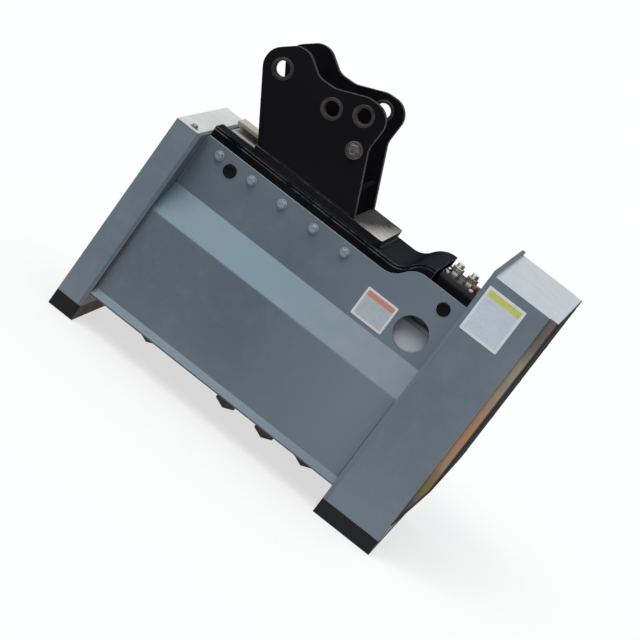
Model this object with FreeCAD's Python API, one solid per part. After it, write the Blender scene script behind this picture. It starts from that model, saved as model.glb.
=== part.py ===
import FreeCAD, Part
import math
import os

from FreeCAD import Vector

os.makedirs("parts", exist_ok=True)

MATCH = 0.01  # how near counts as the same place, in mm

# Millimetres. X runs along the rotor, +Y to the back, Z up from the skids' soles.

# Hammers
HAMMER_PAIRS_DEG = (30.0, -45.0, 30.0, -15.0, -25.0, -40.0)  # first of each pair; the next is opposite
HAMMER_SWING_DEG = 110.0
HAMMER_REACH = 77.0
HAMMER_POINT = 14.0
HAMMER_SHANK = 22.0
HAMMER_WIDTH = 57.0
HAMMER_SPACING = 6.0
HAMMER_NECK = 34.0
HAMMER_FLARE = 13.0
HAMMER_EDGE = 8.0
HAMMER_EDGE_HEIGHT = 16.0
HAMMER_EYE_WALL = 8.0
HAMMER_EYE_CHAMFER = 7.0
HAMMER_CHEEK = 5.0

# Hammer bolts and lugs
BOLT_RADIUS = 8.0
BOLT_CLEARANCE = 0.08
LUG_HOLE_SIDES = 8
BOLT_SHOULDER = 3.0
BOLT_HEAD = 8.0
LUG_PLATE = 8.0
LUG_SIDE_CLEARANCE = 1.0
LUG_WALL = 9.0
LUG_FOOT_FLARE = 7.0
LUG_TIP_CHAMFER = 8.0

# Rotor
DRUM_RADIUS = 70.0
DRUM_WALL = 12.0
DRUM_END_GAP = 8.0
END_DISC = 16.0
BOLT_OVER_DRUM = 28.0
ROTOR_END_MARGIN = 7.5
SHAFT_RADIUS = 22.5
SHAFT_CLEARANCE = 0.05
SHAFT_OVERHANG = 6.0
SHAFT_HOLE_MARGIN = 13.5
BEARING_MARGIN = 22.0
BEARING_DEPTH = 36.0
BEARING_CORNER = 28.0

# Room round the rotor
FLOOR_CLEARANCE = 8.0
FRONT_CLEARANCE = 6.0
BACK_CLEARANCE = 46.0

# Plates and sheets
SIDE_PLATE = 10.0
SIDE_PLATE_RISE = 10.0
COVER_SHEET = 5.0
PANEL_SHEET = 6.0
BEND_RADIUS = 4.0
DECK_PLATE = 8.0
HOOD_SHEET = 6.0

# End boxes and skids
LEFT_BOX_WIDTH = 74.0
BELT_BOX_WIDTH = 175.0
END_PAN_DEPTH = 24.0
END_PAN_INSET = 8.0
END_PAN_OVER_SKID = 50.0
END_PAN_TAPER = 130.0
LEFT_BOX_OVER_DECK = 3.0
BELT_BOX_OVER_DECK = 173.0
SKID_HEIGHT = 45.0
SKID_WALL = 8.0
SKID_NOSE_RADIUS = 6.0

# Bent front and rear panels
PANEL_RECESS = 18.0
BAND_DEPTH = 61.0
BAND_OVER_ROTOR = 169.0
BAND_HEIGHT = 78.0
FRONT_PANEL_BOTTOM = 89.0
REAR_PANEL_BOTTOM = 150.0
LIP_REACH = 18.0
LIP_DROP = 15.0

# Inner hood and deck
HOOD_OVER_BAND = 70.0
HOOD_SHOULDER = 40.0
DECK_OVER_HOOD = 76.0

# Raised part of the top edge beside the motor
RISE_RUN = 99.0
RISE = 52.0

# Holes in the front panel
ACCESS_HOLE_RADIUS = 46.0
ACCESS_HOLE_MARGIN = 29.0
ACCESS_HOLE_UNDER_DECK = 85.0
PLUG_HOLE_RADIUS = 17.0
LEFT_PLUG_INSET = 95.0
LEFT_PLUG_UNDER_DECK = 41.0
RIGHT_PLUG_INSET = 47.0
RIGHT_PLUG_OVER_DECK = 14.0

# Black saddle between the panels
SADDLE_PLATE = 8.0
SADDLE_LIFT = 20.0
SADDLE_SHIFT = 10.0
SADDLE_LEDGE = 4.0
SADDLE_RAIL_DEPTH = 67.0
SADDLE_WEB_DROP = 46.0

# Hitch
BASE_OFFSET = 106.0
BASE_LENGTH = 396.0
BASE_PLATE = 22.0
BASE_INSET = 10.0
EAR_GAP = 210.0
EAR_PLATE = 20.0
EAR_CORNER = 46.0
EAR_FOOT_INSET_LEFT = 4.0
EAR_FOOT_INSET_RIGHT = 90.0
HITCH_PIN_RADIUS = 20.0
ARM_PIN_OVERHANG = 56.0
ARM_PIN_HEIGHT = 190.0
LINK_PIN_RUN = 232.0
LINK_PIN_RISE = 29.0
SPARE_PIN_RUN = 157.0
SPARE_PIN_DROP = 5.0
ARM_LOBE = (  # corners round the arm pin, as x and z from it
    (-52.0, -13.0),
    (-52.0, 26.0),
    (0.0, 70.0),
    (34.0, 72.0),
    (86.0, 37.0),
    (134.0, 39.0),
)
LINK_LOBE = (  # corners round the link pin, as x and z from it
    (-18.0, 43.0),
    (28.0, 45.0),
    (59.0, 17.0),
    (57.0, -59.0),
)
EAR_WEB = 12.0
EAR_WEB_HEIGHT = 62.0
EAR_WEB_INSET = 6.0

# Motor
MOTOR_OVER_DECK = 21.0
MOTOR_Y = -30.0
MOTOR_BODY = 104.0
MOTOR_LENGTH = 97.0
MOTOR_FLANGE = 14.0
MOTOR_FLANGE_RIM = 7.0
MOTOR_CORNER = 16.0
MOTOR_GAP = 5.0
PORT_SPACING = 44.0
PORT_RADIUS = 10.0
PORT_SHOULDER = 7.0
PORT_HEX_HEIGHT = 11.0
PORT_STUB = 24.0

# Rotor, derived
HAMMER_COUNT = 2 * len(HAMMER_PAIRS_DEG)
BOLT_CIRCLE = DRUM_RADIUS + BOLT_OVER_DRUM
SWING_RADIUS = BOLT_CIRCLE + HAMMER_REACH
HAMMER_PITCH = HAMMER_WIDTH + HAMMER_SPACING
HAMMER_THICK = 2 * (BOLT_RADIUS + HAMMER_CHEEK)
HAMMER_EYE_REACH = BOLT_RADIUS + HAMMER_EYE_WALL
LUG_REACH = BOLT_RADIUS + LUG_WALL
SHAFT_HOLE_RADIUS = SHAFT_RADIUS + SHAFT_HOLE_MARGIN

# Housing, derived
BAY = HAMMER_COUNT * HAMMER_PITCH + 2 * ROTOR_END_MARGIN
WIDTH = LEFT_BOX_WIDTH + BAY + BELT_BOX_WIDTH + END_PAN_DEPTH
X_LEFT = -WIDTH / 2
X_RIGHT = WIDTH / 2
X_BAY_LEFT = X_LEFT + LEFT_BOX_WIDTH
X_BAY_RIGHT = X_BAY_LEFT + BAY
X_BELT_END = X_RIGHT - END_PAN_DEPTH
Y_LOW = (FRONT_CLEARANCE + 2 * SWING_RADIUS + BACK_CLEARANCE) / 2 + PANEL_SHEET
Y_HIGH = Y_LOW - BAND_DEPTH
Y_BACK = Y_LOW + PANEL_RECESS
Y_FRONT = -Y_BACK
ROTOR_Y = -Y_LOW + PANEL_SHEET + FRONT_CLEARANCE + SWING_RADIUS
ROTOR_Z = FLOOR_CLEARANCE + SWING_RADIUS
BAND_BOTTOM = ROTOR_Z + BAND_OVER_ROTOR
BAND_TOP = BAND_BOTTOM + BAND_HEIGHT
HOOD_TOP = BAND_TOP + HOOD_OVER_BAND
DECK_TOP = HOOD_TOP + DECK_OVER_HOOD
LEFT_BOX_TOP = DECK_TOP + LEFT_BOX_OVER_DECK
BELT_BOX_TOP = DECK_TOP + BELT_BOX_OVER_DECK
Y_SADDLE = Y_HIGH - PANEL_SHEET

# Motor and saddle, derived
MOTOR_X0 = X_BAY_RIGHT - MOTOR_FLANGE - MOTOR_LENGTH
MOTOR_Z = DECK_TOP + MOTOR_OVER_DECK
SADDLE_END_X = MOTOR_X0 - MOTOR_GAP
RISE_END_X = SADDLE_END_X - SADDLE_LEDGE - SADDLE_SHIFT
RISE_START_X = RISE_END_X - RISE_RUN
SADDLE_TOP = DECK_TOP + SADDLE_LIFT + SADDLE_PLATE

# Hitch, derived
BASE_X0 = X_BAY_LEFT + BASE_OFFSET
BASE_X1 = BASE_X0 + BASE_LENGTH
BASE_TOP = SADDLE_TOP + BASE_PLATE
EAR_FOOT_X0 = BASE_X0 + EAR_FOOT_INSET_LEFT
EAR_FOOT_X1 = BASE_X1 - EAR_FOOT_INSET_RIGHT
ARM_PIN = (BASE_X0 - ARM_PIN_OVERHANG, BASE_TOP + ARM_PIN_HEIGHT)
LINK_PIN = (ARM_PIN[0] + LINK_PIN_RUN, ARM_PIN[1] + LINK_PIN_RISE)
SPARE_PIN = (ARM_PIN[0] + SPARE_PIN_RUN, ARM_PIN[1] - SPARE_PIN_DROP)
EAR_OUTLINE = [(EAR_FOOT_X0, BASE_TOP)]
EAR_OUTLINE += [(ARM_PIN[0] + dx, ARM_PIN[1] + dz) for dx, dz in ARM_LOBE]
EAR_OUTLINE += [(LINK_PIN[0] + dx, LINK_PIN[1] + dz) for dx, dz in LINK_LOBE]
EAR_OUTLINE += [(EAR_FOOT_X1, BASE_TOP)]


def box(x0, x1, y0, y1, z0, z1):
    return Part.makeBox(x1 - x0, y1 - y0, z1 - z0, Vector(x0, y0, z0))


def rod_x(radius, x0, x1, y, z):
    return Part.makeCylinder(radius, x1 - x0, Vector(x0, y, z), Vector(1, 0, 0))


def rod_y(radius, y0, y1, x, z):
    return Part.makeCylinder(radius, y1 - y0, Vector(x, y0, z), Vector(0, 1, 0))


def rod_z(radius, z0, z1, x, y):
    return Part.makeCylinder(radius, z1 - z0, Vector(x, y, z0), Vector(0, 0, 1))


def ring_corners(sides, across_flats):
    """Corners of a regular polygon about the origin, as pairs."""
    radius = across_flats / 2 / math.cos(math.pi / sides)
    turns = [2 * math.pi * k / sides for k in range(sides)]
    return [(radius * math.cos(turn), radius * math.sin(turn)) for turn in turns]


def prism_x(yz, x0, x1):
    corners = [Vector(x0, y, z) for y, z in yz]
    face = Part.Face(Part.makePolygon(corners + corners[:1]))
    return face.extrude(Vector(x1 - x0, 0, 0))


def offset_line(points, thickness):
    """Second side of a folded sheet: the points moved to the left of travel, with mitred corners."""
    normals = []
    for (y0, z0), (y1, z1) in zip(points, points[1:]):
        run = math.hypot(y1 - y0, z1 - z0)
        normals.append((-(z1 - z0) / run, (y1 - y0) / run))
    moved = []
    for i, (y, z) in enumerate(points):
        before = normals[max(i - 1, 0)]
        after = normals[min(i, len(normals) - 1)]
        share = thickness / (1 + before[0] * after[0] + before[1] * after[1])
        moved.append((y + share * (before[0] + after[0]), z + share * (before[1] + after[1])))
    return moved


def edges_at(shape, corners):
    """Edges along X that pass through the given (y, z) corners."""
    found = []
    for edge in shape.Edges:
        middle = edge.CenterOfMass
        near = [1 for y, z in corners if math.hypot(middle.y - y, middle.z - z) < MATCH]
        if near and edge.BoundBox.YLength + edge.BoundBox.ZLength < MATCH:
            found.append(edge)
    return found


def folded_sheet(points, thickness, x0, x1):
    """Sheet along the points, its second side to their left, with rounded bends."""
    second = offset_line(points, thickness)
    sheet = prism_x(points + second[::-1], x0, x1)
    inner, outer = [], []
    for i in range(1, len(points) - 1):
        (y0, z0), (y1, z1), (y2, z2) = points[i - 1:i + 2]
        turns_left = (y1 - y0) * (z2 - z1) > (z1 - z0) * (y2 - y1)
        inner.append(second[i] if turns_left else points[i])
        outer.append(points[i] if turns_left else second[i])
    sheet = sheet.makeFillet(BEND_RADIUS, edges_at(sheet, inner))
    return sheet.makeFillet(BEND_RADIUS + abs(thickness), edges_at(sheet, outer))


def rise_edges(x0, z0, lift=0.0):
    """The two arcs of the raised edge, from (x0, z0), moved up along their normals by lift."""
    radius = (RISE_RUN ** 2 + RISE ** 2) / (4 * RISE)
    angle = math.asin(RISE_RUN / 2 / radius)
    low = (x0, z0 + radius, radius - lift)
    high = (x0 + RISE_RUN, z0 + RISE - radius, radius + lift)

    def on(circle, turn, sign):
        cx, cz, r = circle
        return Vector(cx + sign * r * math.sin(turn), 0, cz - sign * r * math.cos(turn))

    first = Part.Arc(on(low, 0, 1), on(low, angle / 2, 1), on(low, angle, 1))
    second = Part.Arc(on(high, angle, -1), on(high, angle / 2, -1), on(high, 0, -1))
    return first.toShape(), second.toShape()


def line(start, end):
    return Part.makeLine(Vector(start[0], 0, start[1]), Vector(end[0], 0, end[1]))


def raised_region(x0, x1, bottom, top, shift=0.0):
    """The XZ region from bottom up to the raised top edge, through the whole depth."""
    start = RISE_START_X + shift
    end = start + RISE_RUN
    first, second = rise_edges(start, top)
    edges = [
        line((x0, bottom), (x0, top)),
        line((x0, top), (start, top)),
        first,
        second,
        line((end, top + RISE), (x1, top + RISE)),
        line((x1, top + RISE), (x1, bottom)),
        line((x1, bottom), (x0, bottom)),
    ]
    face = Part.Face(Part.Wire(edges))
    face.translate(Vector(0, Y_FRONT, 0))
    return face.extrude(Vector(0, Y_BACK - Y_FRONT, 0))


def raised_plate(x0, x1, y0, y1, z, thickness, shift=0.0):
    """A plate bent along the raised edge, with its underside at z."""
    start = RISE_START_X + shift
    end = start + RISE_RUN
    low_first, low_second = rise_edges(start, z)
    top_first, top_second = rise_edges(start, z, thickness)
    edges = [
        line((x0, z), (start, z)),
        low_first,
        low_second,
        line((end, z + RISE), (x1, z + RISE)),
        line((x1, z + RISE), (x1, z + RISE + thickness)),
        line((x1, z + RISE + thickness), (end, z + RISE + thickness)),
        top_second,
        top_first,
        line((start, z + thickness), (x0, z + thickness)),
        line((x0, z + thickness), (x0, z)),
    ]
    face = Part.Face(Part.Wire(Part.__sortEdges__(edges)))
    face.translate(Vector(0, y0, 0))
    return face.extrude(Vector(0, y1 - y0, 0))


def export(shape, node):
    shape.exportStep("parts/" + node + ".step")


# Housing

def panel_line():
    """Outer face of a bent panel above its bottom, as (distance from the middle, z), going up."""
    crown = DECK_TOP + RISE + PANEL_SHEET
    return [(Y_LOW, BAND_BOTTOM), (Y_HIGH, BAND_TOP), (Y_HIGH, crown)]


def front_panel():
    lip = [(Y_LOW + LIP_REACH, FRONT_PANEL_BOTTOM), (Y_LOW, FRONT_PANEL_BOTTOM + LIP_DROP)]
    outer = [(-y, z) for y, z in lip + panel_line()]
    sheet = folded_sheet(outer[::-1], PANEL_SHEET, X_BAY_LEFT, X_BAY_RIGHT)
    sheet = sheet.common(raised_region(X_BAY_LEFT, X_BAY_RIGHT, 0, DECK_TOP))
    access_x = X_BAY_RIGHT - ACCESS_HOLE_MARGIN - ACCESS_HOLE_RADIUS
    holes = (  # x, z, radius
        (access_x, DECK_TOP - ACCESS_HOLE_UNDER_DECK, ACCESS_HOLE_RADIUS),
        (X_BAY_LEFT + LEFT_PLUG_INSET, DECK_TOP - LEFT_PLUG_UNDER_DECK, PLUG_HOLE_RADIUS),
        (X_BAY_RIGHT - RIGHT_PLUG_INSET, DECK_TOP + RIGHT_PLUG_OVER_DECK, PLUG_HOLE_RADIUS),
    )
    for x, z, radius in holes:
        sheet = sheet.cut(rod_y(radius, -Y_LOW, 0, x, z))
    return sheet


def rear_panel():
    outer = [(Y_LOW, REAR_PANEL_BOTTOM)] + panel_line()
    sheet = folded_sheet(outer, PANEL_SHEET, X_BAY_LEFT, X_BAY_RIGHT)
    return sheet.common(raised_region(X_BAY_LEFT, X_BAY_RIGHT, 0, DECK_TOP))


def side_plate(x0, top):
    plate = box(x0, x0 + SIDE_PLATE, Y_FRONT, Y_BACK, SKID_HEIGHT, top)
    return plate.cut(rod_x(SHAFT_HOLE_RADIUS, x0, x0 + SIDE_PLATE, ROTOR_Y, ROTOR_Z))


def end_cover(x0, x1, top, open_left):
    """Five-sided sheet cover, open toward its side plate."""
    outer = box(x0, x1, Y_FRONT, Y_BACK, SKID_HEIGHT, top)
    inner_x0 = x0 if open_left else x0 + COVER_SHEET
    inner_x1 = x1 - COVER_SHEET if open_left else x1
    hollow = box(
        inner_x0, inner_x1,
        Y_FRONT + COVER_SHEET, Y_BACK - COVER_SHEET,
        SKID_HEIGHT + COVER_SHEET, top - COVER_SHEET,
    )
    return outer.cut(hollow)


def belt_cover():
    """Right end cover with a shallower pan raised from its end, tapered below, hollow into the cover."""
    cover = end_cover(X_BAY_RIGHT + SIDE_PLATE, X_BELT_END, BELT_BOX_TOP, True)
    y0 = Y_FRONT + END_PAN_INSET
    y1 = Y_BACK - END_PAN_INSET
    foot = SKID_HEIGHT + END_PAN_OVER_SKID
    inner_x = X_BELT_END - COVER_SHEET
    outline = [
        (inner_x, foot),
        (X_BELT_END, foot),
        (X_RIGHT, foot + END_PAN_TAPER),
        (X_RIGHT, BELT_BOX_TOP),
        (inner_x, BELT_BOX_TOP),
    ]
    hollow = [
        (inner_x, foot),
        (X_RIGHT - COVER_SHEET, foot + END_PAN_TAPER),
        (X_RIGHT - COVER_SHEET, BELT_BOX_TOP - COVER_SHEET),
        (inner_x, BELT_BOX_TOP - COVER_SHEET),
    ]
    pan = prism_y(outline, y0, y1)
    inside = prism_y(hollow, y0 + COVER_SHEET, y1 - COVER_SHEET)
    return cover.fuse(pan).cut(inside).removeSplitter()


def skid(x0, x1):
    """Runner bent up at both ends, closed at its sides."""
    outer = box(x0, x1, Y_FRONT, Y_BACK, 0, SKID_HEIGHT)
    soles = [e for e in outer.Edges if abs(e.BoundBox.ZMax) < 1 and e.BoundBox.YLength < 1]
    outer = outer.makeFillet(SKID_NOSE_RADIUS, soles)
    hollow = box(
        x0 + SKID_WALL, x1 - SKID_WALL,
        Y_FRONT + SKID_WALL, Y_BACK - SKID_WALL,
        SKID_WALL, SKID_HEIGHT,
    )
    return outer.cut(hollow)


def inner_hood():
    inside = Y_HIGH - PANEL_SHEET
    crown = inside - HOOD_SHOULDER
    points = [(-inside, BAND_TOP), (-crown, HOOD_TOP), (crown, HOOD_TOP), (inside, BAND_TOP)]
    sheet = folded_sheet(points, -HOOD_SHEET, X_BAY_LEFT, X_BAY_RIGHT)
    return sheet.common(box(X_BAY_LEFT, X_BAY_RIGHT, -inside, inside, 0, HOOD_TOP))


def deck_plate():
    """Deck with its right end turned down to the hood, as the motor bay's wall."""
    reach = Y_SADDLE - SADDLE_PLATE
    top = box(X_BAY_LEFT, RISE_START_X, -reach, reach, DECK_TOP - DECK_PLATE, DECK_TOP)
    crown = Y_SADDLE - HOOD_SHOULDER
    wall = box(RISE_START_X - DECK_PLATE, RISE_START_X, -crown, crown, HOOD_TOP, DECK_TOP)
    return top.fuse(wall).removeSplitter()


# Saddle and hitch

def saddle_plate():
    """Bent top plate, with its left end cut back to a front and a back rail."""
    under = SADDLE_TOP - SADDLE_PLATE
    plate = raised_plate(X_BAY_LEFT, SADDLE_END_X, -Y_SADDLE, Y_SADDLE, under, SADDLE_PLATE, SADDLE_SHIFT)
    rail = Y_SADDLE - SADDLE_RAIL_DEPTH
    return plate.cut(box(X_BAY_LEFT, BASE_X0, -rail, rail, under, SADDLE_TOP))


def saddle_webs():
    """Front and back webs that carry the saddle's plate and bolt to the panels."""
    under = SADDLE_TOP - SADDLE_PLATE
    region = raised_region(X_BAY_LEFT, SADDLE_END_X, DECK_TOP - SADDLE_WEB_DROP, under, SADDLE_SHIFT)
    webs = []
    for y0 in (-Y_SADDLE, Y_SADDLE - SADDLE_PLATE):
        web = box(X_BAY_LEFT, SADDLE_END_X, y0, y0 + SADDLE_PLATE, DECK_TOP - SADDLE_WEB_DROP, under + RISE)
        webs.append(web.common(region))
    return Part.makeCompound(webs)


def base_plate():
    reach = Y_SADDLE - BASE_INSET
    plate = box(BASE_X0, BASE_X1, -reach, reach, SADDLE_TOP, BASE_TOP)
    uprights = [e for e in plate.Edges if e.BoundBox.ZLength > BASE_PLATE / 2]
    return plate.makeFillet(BASE_PLATE / 2, uprights)


def prism_y(xz, y0, y1):
    corners = [Vector(x, y0, z) for x, z in xz]
    face = Part.Face(Part.makePolygon(corners + corners[:1]))
    return face.extrude(Vector(0, y1 - y0, 0))


def ear(y0):
    """One hitch ear with its three pin bores; y0 is its front face."""
    plate = prism_y(EAR_OUTLINE, y0, y0 + EAR_PLATE)
    uprights = [e for e in plate.Edges if e.BoundBox.YLength > EAR_PLATE / 2]
    plate = plate.makeFillet(EAR_CORNER, [e for e in uprights if e.CenterOfMass.z > BASE_TOP + MATCH])
    for x, z in (ARM_PIN, LINK_PIN, SPARE_PIN):
        plate = plate.cut(rod_y(HITCH_PIN_RADIUS, y0, y0 + EAR_PLATE, x, z))
    return plate


def ear_webs():
    """Plates between the ears that lean with the ears' left and right edges."""
    webs = []
    for foot, above, inward in ((0, 1, 1), (-1, -2, -1)):
        x0, z0 = EAR_OUTLINE[foot]
        x1, z1 = EAR_OUTLINE[above]
        near = x0 + inward * EAR_WEB_INSET
        lean = EAR_WEB_HEIGHT * (x1 - x0) / (z1 - z0)
        far = near + inward * EAR_WEB
        top = BASE_TOP + EAR_WEB_HEIGHT
        corners = [(near, BASE_TOP), (far, BASE_TOP), (far + lean, top), (near + lean, top)]
        webs.append(prism_y(corners, -EAR_GAP / 2, EAR_GAP / 2))
    return Part.makeCompound(webs)


# Motor

def square_bar(half, x0, x1, y, z):
    return box(x0, x1, y - half, y + half, z - half, z + half)


def edges_along_x(shape, length):
    return [e for e in shape.Edges if e.BoundBox.XLength > length / 2]


def motor():
    x_flange = X_BAY_RIGHT - MOTOR_FLANGE
    body = square_bar(MOTOR_BODY / 2, MOTOR_X0, x_flange, MOTOR_Y, MOTOR_Z)
    body = body.makeFillet(MOTOR_CORNER, edges_along_x(body, MOTOR_LENGTH))
    flange = square_bar(MOTOR_BODY / 2 + MOTOR_FLANGE_RIM, x_flange, X_BAY_RIGHT, MOTOR_Y, MOTOR_Z)
    flange = flange.makeChamfer(MOTOR_CORNER, edges_along_x(flange, MOTOR_FLANGE))
    return body.fuse(flange).removeSplitter()


def motor_ports():
    """Threaded adapters on top of the motor, each a hexagon with its stub."""
    fittings = []
    top = MOTOR_Z + MOTOR_BODY / 2
    middle = MOTOR_X0 + MOTOR_LENGTH / 2
    for x in (middle - PORT_SPACING / 2, middle + PORT_SPACING / 2):
        ring = ring_corners(6, 2 * PORT_RADIUS + PORT_SHOULDER)
        corners = [Vector(x + dx, MOTOR_Y + dy, top) for dx, dy in ring]
        hexagon = Part.Face(Part.makePolygon(corners + corners[:1])).extrude(Vector(0, 0, PORT_HEX_HEIGHT))
        stub = rod_z(PORT_RADIUS, top + PORT_HEX_HEIGHT, top + PORT_HEX_HEIGHT + PORT_STUB, x, MOTOR_Y)
        fittings.append(hexagon.fuse(stub))
    return Part.makeCompound(fittings)


# Rotor

def bearing(x_face, outward):
    """Bearing block on the outer face of a side plate; outward is -1 or 1 along X."""
    x_end = x_face + outward * BEARING_DEPTH
    x0, x1 = min(x_face, x_end), max(x_face, x_end)
    block = square_bar(SHAFT_HOLE_RADIUS + BEARING_MARGIN, x0, x1, ROTOR_Y, ROTOR_Z)
    block = block.makeChamfer(BEARING_CORNER, edges_along_x(block, BEARING_DEPTH))
    return block.cut(rod_x(SHAFT_RADIUS + SHAFT_CLEARANCE, x0, x1, ROTOR_Y, ROTOR_Z))


def station(i):
    """Station i as (x, phase): phase is the bolt's turn about +X from straight down, -180 to 180."""
    x = X_BAY_LEFT + ROTOR_END_MARGIN + (i + 0.5) * HAMMER_PITCH
    phase = (HAMMER_PAIRS_DEG[i // 2] + 180.0 * (i % 2) + 180.0) % 360.0 - 180.0
    return x, phase


def on_rotor(shape, phase):
    """Turns a shape made straight below the rotor axis to its phase."""
    turned = shape.copy()
    turned.rotate(Vector(0, ROTOR_Y, ROTOR_Z), Vector(1, 0, 0), phase)
    return turned


def lug(x0):
    """One lug plate, straight below the axis, with its foot inside the drum wall."""
    foot_z = ROTOR_Z - DRUM_RADIUS + DRUM_WALL / 2
    pin_z = ROTOR_Z - BOLT_CIRCLE
    half = [
        (LUG_REACH + LUG_FOOT_FLARE, foot_z),
        (LUG_REACH, pin_z - LUG_REACH + LUG_TIP_CHAMFER),
        (LUG_REACH - LUG_TIP_CHAMFER, pin_z - LUG_REACH),
    ]
    corners = [(ROTOR_Y - y, z) for y, z in half] + [(ROTOR_Y + y, z) for y, z in reversed(half)]
    ring = ring_corners(LUG_HOLE_SIDES, 2 * (BOLT_RADIUS + BOLT_CLEARANCE))
    hole = [(ROTOR_Y + dy, pin_z + dz) for dy, dz in ring]
    return prism_x(corners, x0, x0 + LUG_PLATE).cut(prism_x(hole, x0, x0 + LUG_PLATE))


def rotor_drum():
    x0 = X_BAY_LEFT + DRUM_END_GAP
    x1 = X_BAY_RIGHT - DRUM_END_GAP
    tube = rod_x(DRUM_RADIUS, x0, x1, ROTOR_Y, ROTOR_Z)
    bore = rod_x(DRUM_RADIUS - DRUM_WALL, x0 + END_DISC, x1 - END_DISC, ROTOR_Y, ROTOR_Z)
    drum = tube.cut(bore)
    side = HAMMER_SHANK / 2 + LUG_SIDE_CLEARANCE
    lugs = []
    for i in range(HAMMER_COUNT):
        x, phase = station(i)
        for lug_x0 in (x - side - LUG_PLATE, x + side):
            lugs.append(on_rotor(lug(lug_x0), phase))
    return drum.fuse(lugs).removeSplitter()


def rotor_shafts():
    left_end = X_BAY_LEFT - SIDE_PLATE - BEARING_DEPTH - SHAFT_OVERHANG
    right_end = X_BAY_RIGHT + SIDE_PLATE + BEARING_DEPTH + SHAFT_OVERHANG
    left = rod_x(SHAFT_RADIUS, left_end, X_BAY_LEFT + DRUM_END_GAP, ROTOR_Y, ROTOR_Z)
    right = rod_x(SHAFT_RADIUS, X_BAY_RIGHT - DRUM_END_GAP, right_end, ROTOR_Y, ROTOR_Z)
    return Part.makeCompound([left, right])


def hammer_bolts():
    """Bolts that the hammers swing on, each with a hexagon head and nut."""
    half = HAMMER_SHANK / 2 + LUG_SIDE_CLEARANCE + LUG_PLATE
    pin_z = ROTOR_Z - BOLT_CIRCLE
    hexagon = [(ROTOR_Y + dy, pin_z + dz) for dy, dz in ring_corners(6, 2 * (BOLT_RADIUS + BOLT_SHOULDER))]
    bolts = []
    for i in range(HAMMER_COUNT):
        x, phase = station(i)
        shank = rod_x(BOLT_RADIUS, x - half, x + half, ROTOR_Y, pin_z)
        head = prism_x(hexagon, x - half - BOLT_HEAD, x - half)
        nut = prism_x(hexagon, x + half, x + half + BOLT_HEAD)
        bolts.append(on_rotor(shank.fuse([head, nut]), phase))
    return Part.makeCompound(bolts)


def hammer_blank():
    """Hammer hanging straight down from the origin: a front outline crossed with a side outline."""
    shank = HAMMER_SHANK / 2
    head = HAMMER_WIDTH / 2
    front = [
        (-shank, HAMMER_EYE_REACH),
        (shank, HAMMER_EYE_REACH),
        (shank, -HAMMER_NECK),
        (head, -HAMMER_NECK - HAMMER_FLARE),
        (head, -HAMMER_REACH + HAMMER_POINT),
        (0, -HAMMER_REACH),
        (-head, -HAMMER_REACH + HAMMER_POINT),
        (-head, -HAMMER_NECK - HAMMER_FLARE),
        (-shank, -HAMMER_NECK),
    ]
    corners = [Vector(x, -HAMMER_THICK, z) for x, z in front]
    blank = Part.Face(Part.makePolygon(corners + corners[:1])).extrude(Vector(0, 2 * HAMMER_THICK, 0))
    half = HAMMER_THICK / 2
    side = [
        (half - HAMMER_EYE_CHAMFER, HAMMER_EYE_REACH),
        (half, HAMMER_EYE_REACH - HAMMER_EYE_CHAMFER),
        (half, -HAMMER_REACH + HAMMER_EDGE_HEIGHT),
        (half - HAMMER_EDGE, -HAMMER_REACH),
    ]
    profile = prism_x(side + [(-y, z) for y, z in reversed(side)], -head, head)
    bore = rod_x(BOLT_RADIUS + BOLT_CLEARANCE, -head, head, 0, 0)
    return blank.common(profile).cut(bore).removeSplitter()


def rest_angle(phase):
    """How far from straight down a hammer lies: it hangs free, or rests at the end of its swing."""
    if abs(phase) <= HAMMER_SWING_DEG:
        return 0.0
    return phase - math.copysign(HAMMER_SWING_DEG, phase)


def hammer(i):
    x, phase = station(i)
    turn = math.radians(phase)
    shape = hammer_blank()
    shape.rotate(Vector(0, 0, 0), Vector(1, 0, 0), rest_angle(phase))
    shape.translate(Vector(x, ROTOR_Y + BOLT_CIRCLE * math.sin(turn), ROTOR_Z - BOLT_CIRCLE * math.cos(turn)))
    return shape


export(front_panel(), "front_panel")
export(rear_panel(), "rear_panel")
export(side_plate(X_BAY_LEFT - SIDE_PLATE, LEFT_BOX_TOP), "side_plate_left")
export(side_plate(X_BAY_RIGHT, BELT_BOX_TOP + SIDE_PLATE_RISE), "side_plate_right")
export(end_cover(X_LEFT, X_BAY_LEFT - SIDE_PLATE, LEFT_BOX_TOP, False), "bearing_cover")
export(belt_cover(), "belt_cover")
export(skid(X_LEFT, X_BAY_LEFT), "skid_left")
export(skid(X_BAY_RIGHT, X_BELT_END), "skid_right")
export(inner_hood(), "inner_hood")
export(deck_plate(), "deck_plate")
export(saddle_plate(), "saddle_plate")
export(saddle_webs(), "saddle_webs")
export(base_plate(), "hitch_base_plate")
export(ear(-EAR_GAP / 2 - EAR_PLATE), "ear_front")
export(ear(EAR_GAP / 2), "ear_back")
export(ear_webs(), "ear_webs")
export(motor(), "hydraulic_motor")
export(motor_ports(), "motor_ports")
export(bearing(X_BAY_LEFT - SIDE_PLATE, -1), "bearing_left")
export(bearing(X_BAY_RIGHT + SIDE_PLATE, 1), "bearing_right")
export(rotor_drum(), "rotor_drum")
export(rotor_shafts(), "rotor_shafts")
export(hammer_bolts(), "hammer_bolts")
for index in range(HAMMER_COUNT):
    export(hammer(index), "hammer_%02d" % (index + 1))
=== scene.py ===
import math
import random

import bmesh
import bpy
from mathutils import Matrix, Vector


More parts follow.
